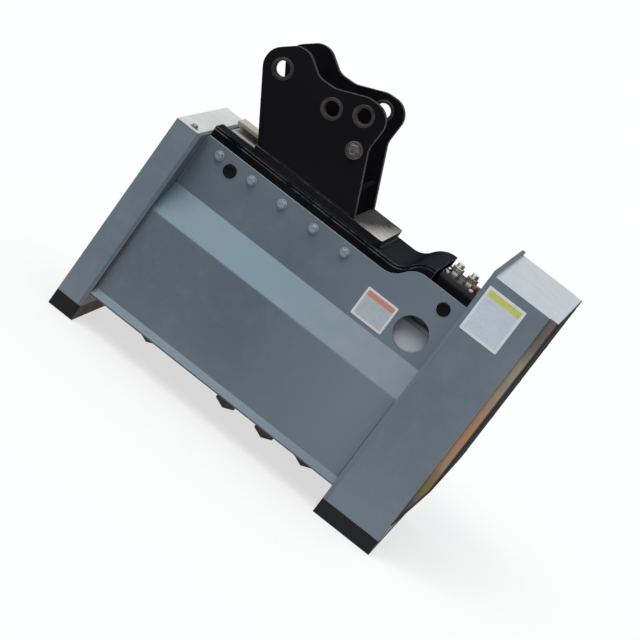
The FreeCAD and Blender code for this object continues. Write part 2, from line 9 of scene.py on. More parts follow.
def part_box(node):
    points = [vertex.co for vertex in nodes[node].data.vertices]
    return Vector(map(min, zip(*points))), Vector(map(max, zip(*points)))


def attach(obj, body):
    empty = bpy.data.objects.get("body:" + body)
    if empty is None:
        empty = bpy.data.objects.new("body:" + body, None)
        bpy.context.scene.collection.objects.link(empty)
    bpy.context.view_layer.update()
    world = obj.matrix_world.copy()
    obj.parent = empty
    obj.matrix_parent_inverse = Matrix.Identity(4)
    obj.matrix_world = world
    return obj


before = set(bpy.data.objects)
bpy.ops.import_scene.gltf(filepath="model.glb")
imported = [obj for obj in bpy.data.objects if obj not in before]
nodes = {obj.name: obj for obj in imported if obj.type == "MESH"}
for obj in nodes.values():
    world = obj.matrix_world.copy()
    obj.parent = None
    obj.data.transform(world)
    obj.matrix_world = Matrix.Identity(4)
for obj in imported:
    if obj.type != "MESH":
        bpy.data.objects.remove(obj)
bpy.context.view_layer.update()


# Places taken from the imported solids

deck_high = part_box("deck_plate")[1]
bay_low, bay_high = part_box("front_panel")
belt_low, belt_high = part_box("belt_cover")
cover_low, cover_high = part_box("bearing_cover")
saddle_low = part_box("saddle_plate")[0]
base_low, base_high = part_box("hitch_base_plate")
ear_f_low, ear_f_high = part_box("ear_front")
ear_b_low, ear_b_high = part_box("ear_back")
motor_low, motor_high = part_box("hydraulic_motor")
ports_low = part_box("motor_ports")[0]

LOW_FACE = 0.207          # distance of the panels' lower faces from the middle
HIGH_FACE = 0.146         # the same for their upper faces
LIP_TOP = 0.104           # where the front lip begins
DECK_TOP = deck_high.z
PAN_DEPTH = 0.024         # how far the pan stands out of the belt cover's end
PAN_X = belt_high.x - PAN_DEPTH
PAN_FOOT = 0.095          # height of the pan's lower edge
PAN_TAPER_TOP = 0.225     # up to where its end leans outward
PAN_INSET = 0.008         # its distance from the cover's front and back
BAND_BOTTOM = 0.352       # the panels' sloped band
BAND_TOP = 0.430
LEFT = bay_low.x          # left end of the panels, from which lengths along the mower run
ARM_PIN = (LEFT + 0.050, 0.816)
LINK_PIN = (LEFT + 0.282, 0.845)
SPARE_PIN = (LEFT + 0.207, 0.811)
KEEPER_BOLT = (LEFT + 0.312, 0.763)
PIN_RADIUS = 0.020
EAR_FOOT_XS = (LEFT + 0.118, LEFT + 0.402)
SADDLE_SHEET = 0.008
PORT_XS = (motor_low.x + 0.0265, motor_low.x + 0.0705)
MOTOR_Y = -0.030
MOTOR_TOP = ports_low.z


# Materials

def rgb(r, g, b):
    return (r, g, b, 1.0)


def scaled(colour, factor, lift=0.0):
    return rgb(*[min(1.0, c * factor + lift) for c in colour])


class Surface:
    """A principled material with helpers that wire procedural textures in object space."""

    def __init__(self, name):
        self.material = bpy.data.materials.new(name)
        self.material.use_nodes = True
        self.tree = self.material.node_tree
        self.tree.nodes.clear()
        output = self.tree.nodes.new("ShaderNodeOutputMaterial")
        self.shader = self.tree.nodes.new("ShaderNodeBsdfPrincipled")
        self.link(self.shader.outputs["BSDF"], output.inputs["Surface"])
        self.coords = self.tree.nodes.new("ShaderNodeTexCoord")

    def link(self, source, target):
        self.tree.links.new(source, target)

    def feed(self, socket_name, source):
        self.link(source, self.shader.inputs[socket_name])

    def noise(self, scale, detail=4.0, rough=0.55, stretch=(1, 1, 1), offset=0.0):
        mapping = self.tree.nodes.new("ShaderNodeMapping")
        mapping.inputs["Scale"].default_value = stretch
        mapping.inputs["Location"].default_value = (offset, offset * 0.7, offset * 1.3)
        self.link(self.coords.outputs["Object"], mapping.inputs["Vector"])
        node = self.tree.nodes.new("ShaderNodeTexNoise")
        node.inputs["Scale"].default_value = scale
        node.inputs["Detail"].default_value = detail
        node.inputs["Roughness"].default_value = rough
        self.link(mapping.outputs["Vector"], node.inputs["Vector"])
        return node.outputs["Fac"]

    def ramp(self, value, low, high, out_low=0.0, out_high=1.0):
        node = self.tree.nodes.new("ShaderNodeMapRange")
        limits = {"From Min": low, "From Max": high, "To Min": out_low, "To Max": out_high}
        for name, number in limits.items():
            node.inputs[name].default_value = number
        self.link(value, node.inputs["Value"])
        return node.outputs["Result"]

    def math(self, operation, a, b=0.0):
        node = self.tree.nodes.new("ShaderNodeMath")
        node.operation = operation
        for socket, value in zip(node.inputs, (a, b)):
            if isinstance(value, (int, float)):
                socket.default_value = value
            else:
                self.link(value, socket)
        return node.outputs["Value"]

    def times(self, *values):
        result = values[0]
        for value in values[1:]:
            result = self.math("MULTIPLY", result, value)
        return result

    def mix(self, factor, a, b):
        node = self.tree.nodes.new("ShaderNodeMix")
        node.data_type = "RGBA"
        self.link(factor, node.inputs["Factor"])
        for name, value in (("A", a), ("B", b)):
            socket = [s for s in node.inputs if s.name == name and s.type == "RGBA"][0]
            if isinstance(value, tuple):
                socket.default_value = value
            else:
                self.link(value, socket)
        return [s for s in node.outputs if s.type == "RGBA"][0]

    def axis(self, name, kind="Object"):
        node = self.tree.nodes.new("ShaderNodeSeparateXYZ")
        self.link(self.coords.outputs[kind], node.inputs["Vector"])
        return node.outputs[name]

    def rounded(self, radius):
        bevel = self.tree.nodes.new("ShaderNodeBevel")
        bevel.samples = 4
        bevel.inputs["Radius"].default_value = radius
        return bevel.outputs["Normal"]

    def edges(self, radius):
        """Near 1 along sharp edges and corners, 0 on flat faces."""
        geometry = self.tree.nodes.new("ShaderNodeNewGeometry")
        dot = self.tree.nodes.new("ShaderNodeVectorMath")
        dot.operation = "DOT_PRODUCT"
        self.link(self.rounded(radius), dot.inputs[0])
        self.link(geometry.outputs["Normal"], dot.inputs[1])
        return self.ramp(dot.outputs["Value"], 0.995, 0.9)

    def bump(self, height, strength, distance, normal=None):
        node = self.tree.nodes.new("ShaderNodeBump")
        node.inputs["Strength"].default_value = strength
        node.inputs["Distance"].default_value = distance
        self.link(height, node.inputs["Height"])
        if normal is not None:
            self.link(normal, node.inputs["Normal"])
        return node.outputs["Normal"]


def painted(name, base, rough=0.35, specular=0.5, tint=0.06, dust=(0.5, 0.5, 0.5), top_dust_and_sheen=0.6,
            top_dust_and_sheen_from=0.45, dust_all=0.05, runs=0.05, edge_wear_and_highlight=(0.12, 0.115, 0.11), edge_wear_and_highlight_amount=0.4,
            edge_wear_and_highlight_width=0.002, slope_sky_sheen=None, extra=None):
    """Sprayed paint with broad tone changes, dust, faint runs, dirt low down and worn edges; the
    dust on upward faces is partly a painted sky sheen, an optional tint on faces sloped toward the
    sky is a painted sky reflection, and the pale worn edges of the black hitch parts are painted
    edge highlights.
    """
    s = Surface(name)
    s.shader.inputs["Specular IOR Level"].default_value = specular
    broad = s.noise(3.2, detail=3.0, rough=0.5)
    middle = s.noise(24.0, detail=5.0, rough=0.6, offset=3.1)
    fine = s.noise(260.0, detail=3.0, rough=0.6, offset=7.7)
    streak = s.noise(20.0, detail=4.0, rough=0.6, stretch=(1.0, 1.0, 0.1), offset=1.9)
    colour = s.mix(s.ramp(broad, 0.35, 0.65), scaled(base, 1 - tint),
                   scaled(base, 1 + tint, 0.002))
    colour = s.mix(s.times(s.ramp(streak, 0.50, 0.78), runs), colour, scaled(base, 0.45))
    # Painted sky reflection: faces sloped toward the sky take a pale bluish tint
    if slope_sky_sheen:
        slope_sky_sheen_mask = s.times(s.ramp(s.axis("Z", "Normal"), 0.3, 0.6),
                          s.ramp(s.axis("Z", "Normal"), 0.95, 0.66))
        colour = s.mix(s.times(slope_sky_sheen_mask, s.ramp(middle, 0.3, 0.7, 0.46, 0.60)), colour, rgb(*slope_sky_sheen))
    # Dust on upward faces; on the housing and its covers it is partly a painted sky sheen
    top_dust_and_sheen_mask = s.times(s.ramp(s.axis("Z", "Normal"), top_dust_and_sheen_from, 1.0),
                      s.ramp(middle, 0.28, 0.66, 0.80, 1.0), top_dust_and_sheen)
    film = s.times(s.ramp(middle, 0.45, 0.75), dust_all)
    low = s.times(s.ramp(s.math("ADD", s.axis("Z"), s.ramp(middle, 0.3, 0.7, -0.06, 0.06)), 0.20,
                         0.05), dust_all * 2)
    dust_and_sheen_mask = s.math("MAXIMUM", top_dust_and_sheen_mask, s.math("ADD", film, low))
    colour = s.mix(dust_and_sheen_mask, colour, rgb(*dust))
    if extra:
        colour = extra(s, colour)
    # Edge wear; on the black saddle, base plate and ears the pale edges are painted edge
    # highlights
    worn_and_lit_edges = s.times(s.edges(edge_wear_and_highlight_width), s.ramp(middle, 0.40, 0.62), edge_wear_and_highlight_amount)
    s.feed("Base Color", s.mix(worn_and_lit_edges, colour, rgb(*edge_wear_and_highlight)))
    s.feed("Roughness",
           s.math("ADD", s.ramp(middle, 0.3, 0.7, rough - 0.04, rough + 0.08),
                  s.times(dust_and_sheen_mask, 0.35)))
    normal = s.bump(broad, strength=0.10, distance=0.004, normal=s.rounded(0.0012))
    s.feed("Normal", s.bump(fine, strength=0.09, distance=0.0006, normal=normal))
    return s.material


def bare_metal(name, base, dark, rough, rust=0.0, rust_colour=(0.16, 0.07, 0.03),
               grain_stretch=(1, 1, 1), edge=None):
    """Bare or plated steel with tarnish, an optional film of rust and a fine grain."""
    s = Surface(name)
    broad = s.noise(22.0, detail=4.0, rough=0.6)
    grain = s.noise(260.0, detail=3.0, rough=0.6, stretch=grain_stretch, offset=2.2)
    colour = s.mix(s.ramp(broad, 0.35, 0.68), rgb(*base), rgb(*dark))
    if edge:
        colour = s.mix(s.times(s.edges(0.0018), 0.8), colour, rgb(*edge))
    if rust:
        spots = s.noise(80.0, detail=5.0, rough=0.7, offset=5.0)
        film = s.times(s.ramp(spots, 0.44, 0.66), rust)
        colour = s.mix(film, colour, rgb(*rust_colour))
        s.feed("Metallic", s.math("SUBTRACT", 1.0, s.times(film, 0.85)))
    else:
        s.shader.inputs["Metallic"].default_value = 1.0
    s.feed("Base Color", colour)
    s.feed("Roughness", s.ramp(grain, 0.3, 0.7, rough - 0.08, rough + 0.14))
    s.feed("Normal", s.bump(grain, strength=0.25, distance=0.0005, normal=s.rounded(0.0006)))
    return s.material


def moulded(name, base, rough=0.55, dust=0.2, specular=0.5):
    """Rubber or plastic with a fine grain and a little dust."""
    s = Surface(name)
    s.shader.inputs["Specular IOR Level"].default_value = specular
    fine = s.noise(200.0, detail=4.0, rough=0.6)
    dirt = s.noise(30.0, detail=4.0, rough=0.6, offset=4.0)
    s.feed("Base Color",
           s.mix(s.times(s.ramp(dirt, 0.45, 0.75), dust), rgb(*base), rgb(0.22, 0.21, 0.19)))
    s.feed("Roughness", s.ramp(fine, 0.3, 0.7, rough - 0.05, rough + 0.1))
    s.feed("Normal", s.bump(fine, strength=0.25, distance=0.0004))
    return s.material


def printed(name, corner, size, margin, band_height, border, field, band, rough=0.4):
    """Blank plate: a pale border round a plain field with a plain colour band at its top."""
    s = Surface(name)
    scuff = s.noise(150.0, detail=4.0, rough=0.65)
    dirt = s.noise(30.0, detail=4.0, rough=0.6, offset=2.0)
    soft = 0.0012
    x0, z0 = corner[0] + margin, corner[1] + margin
    x1, z1 = corner[0] + size[0] - margin, corner[1] + size[1] - margin
    across = s.times(s.ramp(s.axis("X"), x0 - soft, x0 + soft),
                     s.ramp(s.axis("X"), x1 + soft, x1 - soft))
    inside = s.times(across, s.ramp(s.axis("Z"), z0 - soft, z0 + soft),
                     s.ramp(s.axis("Z"), z1 + soft, z1 - soft))
    mottled = s.mix(s.ramp(scuff, 0.35, 0.65), scaled(field, 0.94), scaled(field, 1.06))
    body = s.mix(s.ramp(s.axis("Z"), z1 - band_height - soft, z1 - band_height + soft), mottled,
                 rgb(*band))
    colour = s.mix(inside, rgb(*border), body)
    colour = s.mix(s.times(s.ramp(scuff, 0.55, 0.8), 0.3), colour, rgb(0.34, 0.35, 0.35))
    colour = s.mix(s.times(s.ramp(dirt, 0.48, 0.8), 0.2), colour, rgb(0.28, 0.29, 0.29))
    s.feed("Base Color", colour)
    s.feed("Roughness", s.ramp(scuff, 0.3, 0.7, rough - 0.05, rough + 0.12))
    s.feed("Normal", s.bump(scuff, strength=0.08, distance=0.0003))
    return s.material


def sheen_toward_belt(s, colour):
    """Painted sheen: the paint is made paler toward the belt housing, standing in for a soft
    reflection.
    """
    drift = s.noise(2.4, detail=3.0, rough=0.5, offset=9.0)
    along = s.math("ADD", s.axis("X"), s.ramp(drift, 0.3, 0.7, -0.06, 0.06))
    # Painted sheen: paler toward the belt end
    return s.mix(s.ramp(along, -0.08, 0.26), colour, scaled(HOUSING, 1.42))


def end_stains(s, colour):
    """Tan, orange and olive film on the front and back of the pan on the belt housing's end."""
    on_pan = s.ramp(s.axis("X"), PAN_X - 0.002, PAN_X + 0.001)
    upright = s.ramp(s.axis("Z", "Normal"), 0.7, 0.3)
    ragged = s.noise(9.0, detail=5.0, rough=0.65, stretch=(1, 1, 0.45), offset=6.0)
    blotch = s.noise(38.0, detail=5.0, rough=0.7, offset=8.0)
    level = s.math("ADD", s.axis("Z"), s.ramp(ragged, 0.2, 0.8, -0.10, 0.10))
    brown = s.ramp(level, 0.60, 0.72)
    tan = s.times(s.ramp(level, 0.16, 0.26), s.ramp(level, 0.72, 0.62))
    orange = s.times(s.ramp(level, 0.22, 0.32), s.ramp(level, 0.50, 0.40))
    dark = s.ramp(level, 0.25, 0.18)
    olive = s.times(s.ramp(level, 0.19, 0.23), s.ramp(level, 0.29, 0.26))
    shares = ((tan, (0.40, 0.32, 0.21)), (orange, (0.46, 0.25, 0.145)),
              (brown, (0.160, 0.115, 0.094)), (dark, (0.075, 0.055, 0.038)),
              (olive, (0.19, 0.155, 0.035)))
    for share, tone in shares:
        amount = s.times(share, s.ramp(blotch, 0.3, 0.6, 0.55, 0.95), on_pan, upright)
        colour = s.mix(amount, colour, rgb(*tone))
    edge_x = s.ramp(s.axis("Z"), PAN_FOOT, PAN_TAPER_TOP, PAN_X, belt_high.x)
    rim = s.ramp(s.math("SUBTRACT", s.axis("X"), edge_x), -0.0045, -0.0025)
    return s.mix(s.times(rim, on_pan, upright, 0.92), colour, rgb(0.030, 0.019, 0.014))


def back_dust(s, colour):
    """Pale dust on the back rail's far left, thinning out toward the ear."""
    grain = s.noise(30.0, detail=6.0, rough=0.7, offset=11.0)
    along = s.math("ADD", s.axis("X"), s.ramp(grain, 0.25, 0.75, -0.04, 0.04))
    patch = s.times(s.ramp(along, LEFT + 0.145, LEFT + 0.055), s.ramp(s.axis("Y"), -0.085, -0.05))
    upward = s.ramp(s.axis("Z", "Normal"), -0.2, 0.7, 0.55, 1.0)
    forward = s.ramp(s.axis("Y", "Normal"), 0.6, 0.2)
    return s.mix(s.times(patch, upward, forward, s.ramp(grain, 0.3, 0.6, 0.7, 1.0)), colour,
                 rgb(0.60, 0.55, 0.48))


def lid_rust(s, colour):
    """Rust creeping in from the lid's edges, and thin runs below the screws."""
    creep = s.noise(13.0, detail=6.0, rough=0.7, offset=14.0)
    runs = s.noise(26.0, detail=4.0, rough=0.6, stretch=(1.0, 1.0, 0.08), offset=15.0)
    half = belt_high.y - PAN_INSET
    side = s.ramp(s.math("ABSOLUTE", s.axis("Y")), half - 0.10, half)
    low = s.ramp(s.axis("Z"), 0.34, PAN_FOOT)
    reach = s.math("ADD", s.math("MAXIMUM", side, low), s.ramp(creep, 0.3, 0.7, -0.35, 0.35))
    colour = s.mix(s.ramp(reach, 0.35, 0.85, 0.0, 0.85), colour, rgb(0.060, 0.033, 0.020))
    return s.mix(s.times(s.ramp(runs, 0.56, 0.72), 0.45), colour, rgb(0.085, 0.050, 0.032))


def plate_end_dust(s, colour):
    """Dust on the base plate beyond the ears, thickest toward its front right corner."""
    grain = s.noise(60.0, detail=5.0, rough=0.65, stretch=(1.0, 0.8, 1.0), offset=12.0)
    across = s.math("ADD", s.axis("X"), s.times(s.axis("Y"), -0.25))
    across = s.math("ADD", across, s.ramp(grain, 0.25, 0.75, -0.012, 0.012))
    upward = s.ramp(s.axis("Z", "Normal"), 0.6, 0.95)
    return s.mix(s.times(s.ramp(across, base_high.x - 0.050, base_high.x + 0.016), upward, 0.95),
                 colour, rgb(0.54, 0.525, 0.495))


def chamber_dirt(s, colour):
    """Brown dirt on the faces that look down or into the rotor's chamber, thickest low down."""
    clods = s.noise(18.0, detail=6.0, rough=0.7, offset=17.0)
    outward = s.axis("Z", "Normal")
    for name in ("X", "Y"):
        outward = s.math("MINIMUM", outward,
                         s.times(s.axis(name, "Normal"), s.math("SIGN", s.axis(name))))
    level = s.math("ADD", s.axis("Z"), s.ramp(clods, 0.3, 0.7, -0.08, 0.08))
    amount = s.times(s.ramp(outward, -0.5, -0.8), s.ramp(level, 0.56, 0.25),
                     s.ramp(clods, 0.3, 0.6, 0.60, 0.98))
    return s.mix(amount, colour, rgb(0.070, 0.040, 0.024))


def sheen_and_chamber_dirt(s, colour):
    """The painted sheen on the panels, with the rotor chamber's dirt over it."""
    return chamber_dirt(s, sheen_toward_belt(s, colour))


def plate_wear(s, colour):
    """Dark grime on the side plates' top edges, over the painted sheen and the chamber's dirt."""
    top = s.ramp(s.axis("Z", "Normal"), 0.7, 0.95, 0.0, 0.9)
    return s.mix(top, sheen_and_chamber_dirt(s, colour), rgb(0.085, 0.105, 0.110))


HOUSING = (0.122, 0.154, 0.190)
# Pale bluish dust colour, partly a painted sky sheen on upward faces
DUST_AND_SKY_SHEEN = (0.56, 0.60, 0.62)
# Colour of the painted sky reflection on the housing's sloped faces
SLOPE_SKY_SHEEN = (0.165, 0.315, 0.405)
# The housing carries a painted sheen toward the belt end, a painted sky reflection on its sloped
# faces, and pale dust that is partly painted sky sheen
housing_paint = painted("housing_paint", HOUSING, rough=0.32, specular=0.3, dust=DUST_AND_SKY_SHEEN,
                        top_dust_and_sheen=0.90, top_dust_and_sheen_from=0.72, slope_sky_sheen=SLOPE_SKY_SHEEN, extra=sheen_and_chamber_dirt)
# The belt and bearing covers take the housing paint 1.28 times lighter, a painted sheen toward the
# belt end
belt_paint = painted("belt_cover_paint", scaled(HOUSING, 1.28)[:3], rough=0.34, specular=0.3,
                     dust=(0.58, 0.60, 0.64), top_dust_and_sheen=0.92, top_dust_and_sheen_from=0.72, extra=end_stains)
cover_paint = painted("bearing_cover_paint", scaled(HOUSING, 1.28)[:3], rough=0.34, specular=0.3,
                      dust=(0.70, 0.73, 0.70), top_dust_and_sheen=0.97, top_dust_and_sheen_from=0.72)
deck_paint = painted("deck_paint", HOUSING, rough=0.4, specular=0.35, dust=(0.60, 0.57, 0.52),
                     top_dust_and_sheen=0.97, top_dust_and_sheen_from=0.3)
hood_paint = painted("hood_paint", (0.42, 0.44, 0.47), rough=0.55, specular=0.2,
                     dust=(0.44, 0.46, 0.46), top_dust_and_sheen=0.8, dust_all=0.12, extra=chamber_dirt)
# On the black hitch, saddle and base plate the pale edge tone is painted edge highlight
hitch_paint = painted("hitch_paint", (0.0035, 0.0035, 0.0048), rough=0.5, specular=0.05, tint=0.25,
                      dust=(0.10, 0.10, 0.10), top_dust_and_sheen=0.06, dust_all=0.008,
                      edge_wear_and_highlight=(0.055, 0.055, 0.06), edge_wear_and_highlight_amount=0.5, edge_wear_and_highlight_width=0.002)
rail_paint = painted("saddle_paint", (0.0055, 0.006, 0.008), rough=0.6, specular=0.0, tint=0.25,
                     dust=(0.10, 0.11, 0.14), top_dust_and_sheen=0.16, dust_all=0.015,
                     edge_wear_and_highlight=(0.23, 0.23, 0.235), edge_wear_and_highlight_amount=1.0, edge_wear_and_highlight_width=0.0032, extra=back_dust)
base_paint = painted("base_plate_paint", (0.0065, 0.0065, 0.0075), rough=0.55, specular=0.05,
                     tint=0.25, dust=(0.10, 0.10, 0.095), top_dust_and_sheen=0.2, top_dust_and_sheen_from=0.6,
                     dust_all=0.03, edge_wear_and_highlight=(0.23, 0.23, 0.23), edge_wear_and_highlight_amount=1.0, edge_wear_and_highlight_width=0.0032,
                     extra=plate_end_dust)
web_paint = painted("web_paint", (0.005, 0.005, 0.0065), rough=0.6, specular=0.0, tint=0.25,
                    dust=(0.08, 0.08, 0.08), top_dust_and_sheen=0.05, dust_all=0.01,
                    edge_wear_and_highlight=(0.05, 0.05, 0.055), edge_wear_and_highlight_amount=0.5)
plate_paint = painted("side_plate_paint", HOUSING, rough=0.34, specular=0.12, top_dust_and_sheen=0.9,
                      top_dust_and_sheen_from=0.72, extra=plate_wear)
motor_paint = painted("motor_paint", (0.0045, 0.0045, 0.006), rough=0.4, specular=0.1, tint=0.25,
                      dust=(0.12, 0.115, 0.11), top_dust_and_sheen=0.08, dust_all=0.02,
                      edge_wear_and_highlight=(0.10, 0.10, 0.10), edge_wear_and_highlight_amount=0.5)
skid_paint = painted("skid_steel", (0.0065, 0.0095, 0.0140), rough=0.5, specular=0.06, tint=0.2,
                     dust=(0.16, 0.14, 0.12), top_dust_and_sheen=0.3, dust_all=0.045,
                     edge_wear_and_highlight=(0.26, 0.25, 0.24), edge_wear_and_highlight_amount=0.7, edge_wear_and_highlight_width=0.0028,
                     extra=chamber_dirt)
rotor_paint = painted("rotor_paint", (0.016, 0.016, 0.018), rough=0.5, specular=0.25, tint=0.2,
                      dust=(0.16, 0.135, 0.10), top_dust_and_sheen=0.3, dust_all=0.2,
                      edge_wear_and_highlight=(0.25, 0.23, 0.21), edge_wear_and_highlight_amount=0.8)
bearing_paint = painted("bearing_iron", (0.05, 0.05, 0.055), rough=0.5, specular=0.4, top_dust_and_sheen=0.2)
lid_paint = painted("end_lid_paint", (0.085, 0.100, 0.120), rough=0.85, specular=0.0, tint=0.15,
                    dust=(0.10, 0.085, 0.07), top_dust_and_sheen=0.2, dust_all=0.2, edge_wear_and_highlight=(0.05, 0.03, 0.02),
                    edge_wear_and_highlight_amount=0.8, edge_wear_and_highlight_width=0.003, extra=lid_rust)
hammer_steel = bare_metal("hammer_steel", (0.060, 0.057, 0.055), dark=(0.022, 0.020, 0.019),
                          rough=0.5, rust=0.35, edge=(0.28, 0.27, 0.26))
shaft_steel = bare_metal("shaft_steel", (0.34, 0.34, 0.34), dark=(0.16, 0.155, 0.15), rough=0.34,
                         rust=0.2)
fitting_steel = bare_metal("fitting_steel", (0.62, 0.61, 0.57), dark=(0.38, 0.37, 0.34),
                           rough=0.26, grain_stretch=(1, 1, 0.2))
bolt_paint = painted("bolt_paint", (0.22, 0.27, 0.31), rough=0.34, specular=0.45, tint=0.1,
                     dust=DUST_AND_SKY_SHEEN, top_dust_and_sheen=0.5, top_dust_and_sheen_from=0.5, edge_wear_and_highlight=(0.42, 0.42, 0.42),
                     edge_wear_and_highlight_amount=0.6, edge_wear_and_highlight_width=0.001)
pin_steel = bare_metal("pin_steel", (0.045, 0.043, 0.042), dark=(0.016, 0.015, 0.014), rough=0.42,
                       rust=0.3, rust_colour=(0.05, 0.025, 0.016), edge=(0.20, 0.20, 0.20))
keeper_steel = bare_metal("keeper_steel", (0.105, 0.100, 0.095), dark=(0.030, 0.028, 0.026),
                          rough=0.38, edge=(0.28, 0.27, 0.26))
grey_steel = bare_metal("grey_steel", (0.30, 0.31, 0.32), dark=(0.15, 0.15, 0.15), rough=0.45,
                        rust=0.2)
plug_rubber = moulded("plug_rubber", (0.0035, 0.0035, 0.0045), rough=0.6, dust=0.02, specular=0.08)
red_plastic = moulded("red_cap_plastic", (0.30, 0.055, 0.05), rough=0.4, dust=0.15)
white_plastic = moulded("white_cap_plastic", (0.66, 0.62, 0.60), rough=0.45, dust=0.15)

NODE_MATERIALS = (
    (housing_paint, ("front_panel", "rear_panel")),
    (plate_paint, ("side_plate_left", "side_plate_right")),
    (belt_paint, ("belt_cover",)),
    (cover_paint, ("bearing_cover",)),
    (deck_paint, ("deck_plate",)),
    (hood_paint, ("inner_hood",)),
    (rail_paint, ("saddle_plate", "saddle_webs")),
    (base_paint, ("hitch_base_plate",)),
    (hitch_paint, ("ear_front", "ear_back")),
    (web_paint, ("ear_webs",)),
    (skid_paint, ("skid_left", "skid_right")),
    (motor_paint, ("hydraulic_motor",)),
    (fitting_steel, ("motor_ports",)),
    (bearing_paint, ("bearing_left", "bearing_right")),
    (rotor_paint, ("rotor_drum",)),
    (shaft_steel, ("rotor_shafts", "hammer_bolts")),
)
MATERIAL_OF = {name: material for material, names in NODE_MATERIALS for name in names}
for name, node in nodes.items():
    material = MATERIAL_OF.get(name, hammer_steel)    # what the table leaves out is a hammer
    if len(node.data.materials):
        node.data.materials[0] = material
    else:
        node.data.materials.append(material)


# Mesh helpers

def add_piece(name, material, slot, *makers, body="housing"):
    mesh = bpy.data.meshes.new(name)
    bm = bmesh.new()
    for maker in makers:
        maker(bm)
    bmesh.ops.recalc_face_normals(bm, faces=bm.faces)
    bm.to_mesh(mesh)
    bm.free()
    mesh.materials.append(material)
    piece = bpy.data.objects.new(name, mesh)
    bpy.context.scene.collection.objects.link(piece)
    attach(piece, body)
    return piece


def stand(origin, axis, turn=0.0):
    """Matrix that puts +Z along axis at origin."""
    turned = Vector(axis).normalized().to_track_quat("Z", "Y").to_matrix().to_4x4()
    return Matrix.Translation(Vector(origin)) @ turned @ Matrix.Rotation(turn, 4, "Z")


def lathe(bm, matrix, profile, segments=24, smooth=True, loop=False):
    """Turned form from (radius, height) pairs; a loop closes on itself, as a ring does."""
    rings = []
    for radius, height in profile:
        count = segments if radius > 1e-7 else 1
        turns = [2 * math.pi * k / segments for k in range(count)]
        rings.append([bm.verts.new(matrix @ Vector((radius * math.cos(t), radius * math.sin(t),
                                                    height))) for t in turns])
    pairs = list(zip(rings, rings[1:])) + ([(rings[-1], rings[0])] if loop else [])
    for lower, upper in pairs:
        for k in range(segments):
            after = (k + 1) % segments
            corners = [lower[k % len(lower)], lower[after % len(lower)], upper[after % len(upper)],
                       upper[k % len(upper)]]
            unique = list(dict.fromkeys(corners))
            if len(unique) > 2:
                bm.faces.new(unique).smooth = smooth
    if not loop:
        for ring in (rings[0], rings[-1]):
            if len(ring) > 1:
                bm.faces.new(ring)


def hex_bolt(bm, origin, axis, flats, height, washer=0.0, turn=0.0):
    """Hexagon head with a chamfered crown, on a round washer where one is asked for."""
    matrix = stand(origin, axis, turn)
    corner = flats / math.sqrt(3)
    foot = 0.0
    if washer:
        foot = height * 0.2
        lathe(bm, matrix,
              [(washer, -0.0004), (washer, foot * 0.7), (washer * 0.94, foot), (corner, foot)], 24)
    crown = [(corner, foot - 0.0002), (corner, foot + height * 0.72),
             (corner * 0.86, foot + height * 0.88), (corner * 0.5, foot + height * 0.92),
             (corner * 0.46, foot + height * 0.86)]
    lathe(bm, matrix, crown, 6, smooth=False)


def weld_bead(bm, start, end, size, side_a, side_b, seed):
    """Rippled fillet lying between two faces whose outward normals are given."""
    start, end = Vector(start), Vector(end)
    along = end - start
    a, b = Vector(side_a), Vector(side_b)
    steps = max(8, int(along.length / 0.0030))
    rnd = random.Random(seed)
    rows = []
    for i in range(steps + 1):
        here = start + along * (i / steps)
        swell = 1.0 + 0.12 * math.sin(i * 2.1) + rnd.uniform(-0.06, 0.06)
        if i in (0, steps):
            swell *= 0.45
        row = [bm.verts.new(here - (a + b) * size * 0.12)]
        for k in range(5):
            turn = math.pi / 2 * k / 4
            reach = size * swell * (0.86 + 0.14 * abs(math.cos(2 * turn)))
            row.append(bm.verts.new(here + (a * math.sin(turn) + b * math.cos(turn)) * reach))
        rows.append(row)
    for one, two in zip(rows, rows[1:]):
        for k in range(len(one)):
            after = (k + 1) % len(one)
            bm.faces.new((one[k], one[after], two[after], two[k])).smooth = True
    bm.faces.new(rows[0])
    bm.faces.new(rows[-1])


def thin_plate(bm, corner, u, v, width, height, thickness, radius):
    """Thin plate with round corners, lying on the plane of u and v."""
    u, v, corner = Vector(u), Vector(v), Vector(corner)
    n = u.cross(v)
    outline = []
    for cx, cy, start in ((width - radius, height - radius, 0), (radius, height - radius, 90),
                          (radius, radius, 180), (width - radius, radius, 270)):
        for k in range(5):
            turn = math.radians(start + 90 * k / 4)
            across, along = cx + radius * math.cos(turn), cy + radius * math.sin(turn)
            outline.append(corner + u * across + v * along)
    low = [bm.verts.new(p - n * 0.0002) for p in outline]
    high = [bm.verts.new(p + n * thickness) for p in outline]
    bm.faces.new(low)
    bm.faces.new(high)
    for k in range(len(outline)):
        after = (k + 1) % len(outline)
        bm.faces.new((low[k], low[after], high[after], high[k]))


# Bolts and rubber plugs on the panels

BOLT_XS = [LEFT + along for along in (0.051, 0.153, 0.249, 0.348, 0.445)]
BOLT_Z = DECK_TOP - 0.026


def panel_bolts(side):
    def make(bm):
        for k, x in enumerate(BOLT_XS):
            hex_bolt(bm, (x, side * HIGH_FACE, BOLT_Z), (0, side, 0), flats=0.019, height=0.010,
                     washer=0.0135, turn=0.35 * k)
    return make


def plugs(bm):
    for x, z in ((LEFT + 0.095, DECK_TOP - 0.041), (bay_high.x - 0.047, DECK_TOP + 0.014)):
        profile = [(0.0160, -0.005), (0.0165, 0.0), (0.0177, 0.0002), (0.0179, 0.0014),
                   (0.0168, 0.0026), (0.0140, 0.0028), (0.0112, 0.0018), (0.0, 0.0012)]
        lathe(bm, stand((x, -HIGH_FACE, z), (0, -1, 0)), profile, 32)


add_piece("front_panel_bolts", bolt_paint, "housing_paint", panel_bolts(-1))
add_piece("rear_panel_bolts", bolt_paint, "housing_paint", panel_bolts(1))
add_piece("panel_plugs", plug_rubber, "motor_paint", plugs)


# Blank plates with plain colour bands

